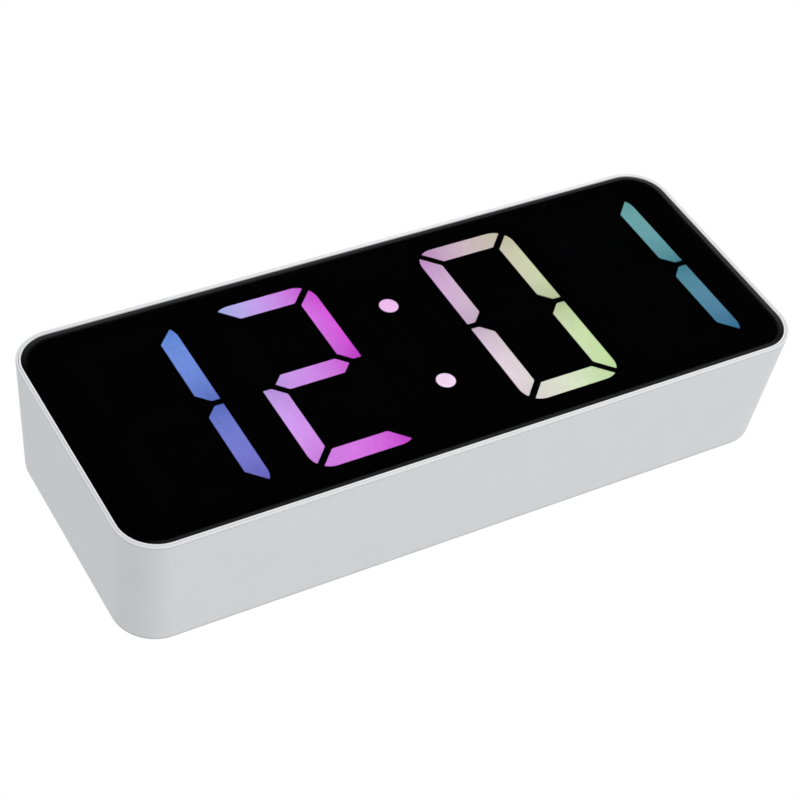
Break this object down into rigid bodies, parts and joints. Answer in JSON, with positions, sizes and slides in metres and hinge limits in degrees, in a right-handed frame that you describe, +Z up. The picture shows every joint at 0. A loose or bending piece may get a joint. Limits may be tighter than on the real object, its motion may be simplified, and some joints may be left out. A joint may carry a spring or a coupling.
{
  "type": "digital led desk clock",
  "caption": "Slim desk clock with a black lens over large coloured LED digits, in a drafted white case with keys, USB-C inlet and battery door on its back.",
  "frame": {"origin": "centre of the clock's box, on the surface that it stands on", "axes": "+Z up, +X to the right as the display is read, the display faces -Y and leans back 2.45 degrees"},
  "size_m": [0.148, 0.0306, 0.0585],
  "materials": {
    "housing_white": "fine satin, moulded",
    "frame_white": "satin, moulded",
    "lens_black": "polished",
    "film_black": "printed matte",
    "tape_black": "foam tape",
    "glow_blue": "tinted diffuser",
    "glow_violet": "tinted diffuser",
    "glow_pale": "tinted diffuser",
    "glow_green": "tinted diffuser",
    "glow_teal": "tinted diffuser",
    "reflector_white": "moulded",
    "board_green": "solder mask",
    "chip_black": "moulded",
    "led_white": "moulded",
    "connector_cream": "moulded",
    "ribbon_grey": "extruded",
    "screw_steel": "zinc plated",
    "contact_nickel": "nickel plated",
    "cell_steel": "brushed can",
    "can_metal": "drawn can",
    "key_white": "satin, moulded",
    "socket_steel": "plated shell",
    "plunger_brown": "moulded"
  },
  "bodies": {
    "clock": {"front_lens": "lens_black", "display_film": "film_black", "lens_tape": "tape_black", "front_frame": "frame_white", "reflector_block": "reflector_white", "digit_1_diffusers": "glow_blue", "digit_2_diffusers": "glow_violet", "digit_3_diffusers": "glow_green", "digit_4_diffusers": "glow_teal", "colon_diffusers": "glow_pale", "led_chips": "led_white", "display_board": "board_green", "driver_chips": "chip_black", "display_connector": "connector_cream", "ribbon_cable": "ribbon_grey", "key_connector": "connector_cream", "rear_housing": "housing_white", "case_screws": "screw_steel", "key_board": "board_green", "key_board_screws": "screw_steel", "tact_switches": "chip_black", "buzzer": "chip_black", "usb_shell": "socket_steel", "usb_insulator": "chip_black", "cell_holder": "chip_black", "coin_cell": "cell_steel", "cell_contact": "contact_nickel", "cell_clip": "contact_nickel", "clock_chip": "chip_black", "crystal": "can_metal", "capacitors": "can_metal"},
    "mode_key": {"mode_button": "key_white", "tact_plunger_mode": "plunger_brown"},
    "down_key": {"down_button": "key_white", "tact_plunger_down": "plunger_brown"},
    "up_key": {"up_button": "key_white", "tact_plunger_up": "plunger_brown"},
    "alarm_key": {"alarm_button": "key_white", "tact_plunger_alarm": "plunger_brown"},
    "door": {"battery_door": "housing_white"}
  },
  "joints": [
    {"name": "mode_press", "type": "slide", "parent": "clock", "child": "mode_key", "axis": [0, -0.9991, 0.0428], "range_m": [0, 0.0004], "stiffness_N_per_m": 1500},
    {"name": "down_press", "type": "slide", "parent": "clock", "child": "down_key", "axis": [0, -0.9991, 0.0428], "range_m": [0, 0.0004], "stiffness_N_per_m": 1500},
    {"name": "up_press", "type": "slide", "parent": "clock", "child": "up_key", "axis": [0, -0.9991, 0.0428], "range_m": [0, 0.0004], "stiffness_N_per_m": 1500},
    {"name": "alarm_press", "type": "slide", "parent": "clock", "child": "alarm_key", "axis": [0, -0.9991, 0.0428], "range_m": [0, 0.0004], "stiffness_N_per_m": 1500},
    {"name": "door_hinge", "type": "hinge", "parent": "clock", "child": "door", "pos_m": [-0.034, 0.0134, 0.01608], "axis": [-1, 0, 0], "range_deg": [0, 90]}
  ]
}
